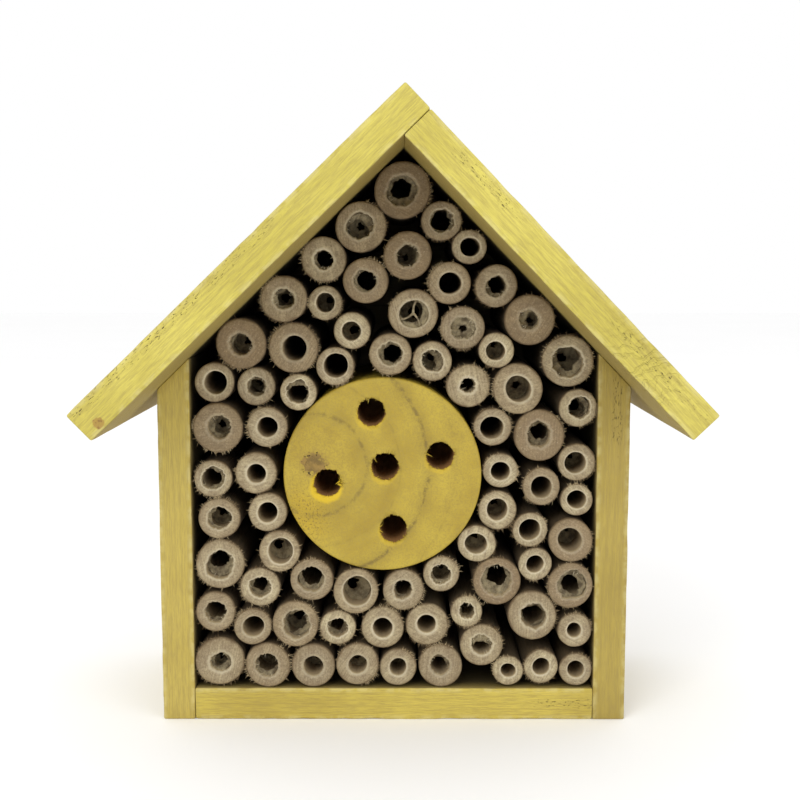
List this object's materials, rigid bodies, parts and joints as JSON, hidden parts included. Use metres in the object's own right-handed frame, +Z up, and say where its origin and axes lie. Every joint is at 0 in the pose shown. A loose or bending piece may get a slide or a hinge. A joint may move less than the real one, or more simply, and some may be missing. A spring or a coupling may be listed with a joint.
{
  "type": "insect hotel",
  "caption": "Small open-fronted wooden insect house with a pitched roof, packed with bamboo canes round a drilled log, with a keyhole plate on the back.",
  "frame": {"origin": "middle of the house's outline at ground level", "axes": "+Z up, -Y out of the open front, +X to the right as seen from the front"},
  "size_m": [0.216, 0.12, 0.227],
  "materials": {
    "stained_pine": "satin",
    "plywood": "matte",
    "log_wood": "satin",
    "bamboo": "matte",
    "nail_steel": "satin",
    "zinc_steel": "satin"
  },
  "bodies": {
    "root": {"left_wall": "stained_pine", "right_wall": "stained_pine", "floor_board": "stained_pine", "roof_left": "stained_pine", "roof_right": "stained_pine", "back_panel": "plywood", "log": "log_wood", "ridge_nails": "nail_steel", "roof_nails": "nail_steel", "wall_nails": "nail_steel", "back_pins": "nail_steel", "hanger_plate": "zinc_steel", "hanger_screws": "zinc_steel", "tube_01": "bamboo", "tube_02": "bamboo", "tube_03": "bamboo", "tube_04": "bamboo", "tube_05": "bamboo", "tube_06": "bamboo", "tube_07": "bamboo", "tube_08": "bamboo", "tube_09": "bamboo", "tube_10": "bamboo", "tube_11": "bamboo", "tube_12": "bamboo", "tube_13": "bamboo", "tube_14": "bamboo", "tube_15": "bamboo", "tube_16": "bamboo", "tube_17": "bamboo", "tube_18": "bamboo", "tube_19": "bamboo", "tube_20": "bamboo", "tube_21": "bamboo", "tube_22": "bamboo", "tube_23": "bamboo", "tube_24": "bamboo", "tube_25": "bamboo", "tube_26": "bamboo", "tube_27": "bamboo", "tube_28": "bamboo", "tube_29": "bamboo", "tube_30": "bamboo", "tube_31": "bamboo", "tube_32": "bamboo", "tube_33": "bamboo", "tube_34": "bamboo", "tube_35": "bamboo", "tube_36": "bamboo", "tube_37": "bamboo", "tube_38": "bamboo", "tube_39": "bamboo", "tube_40": "bamboo", "tube_41": "bamboo", "tube_42": "bamboo", "tube_43": "bamboo", "tube_44": "bamboo", "tube_45": "bamboo", "tube_46": "bamboo", "tube_47": "bamboo"}
  },
  "joints": []
}
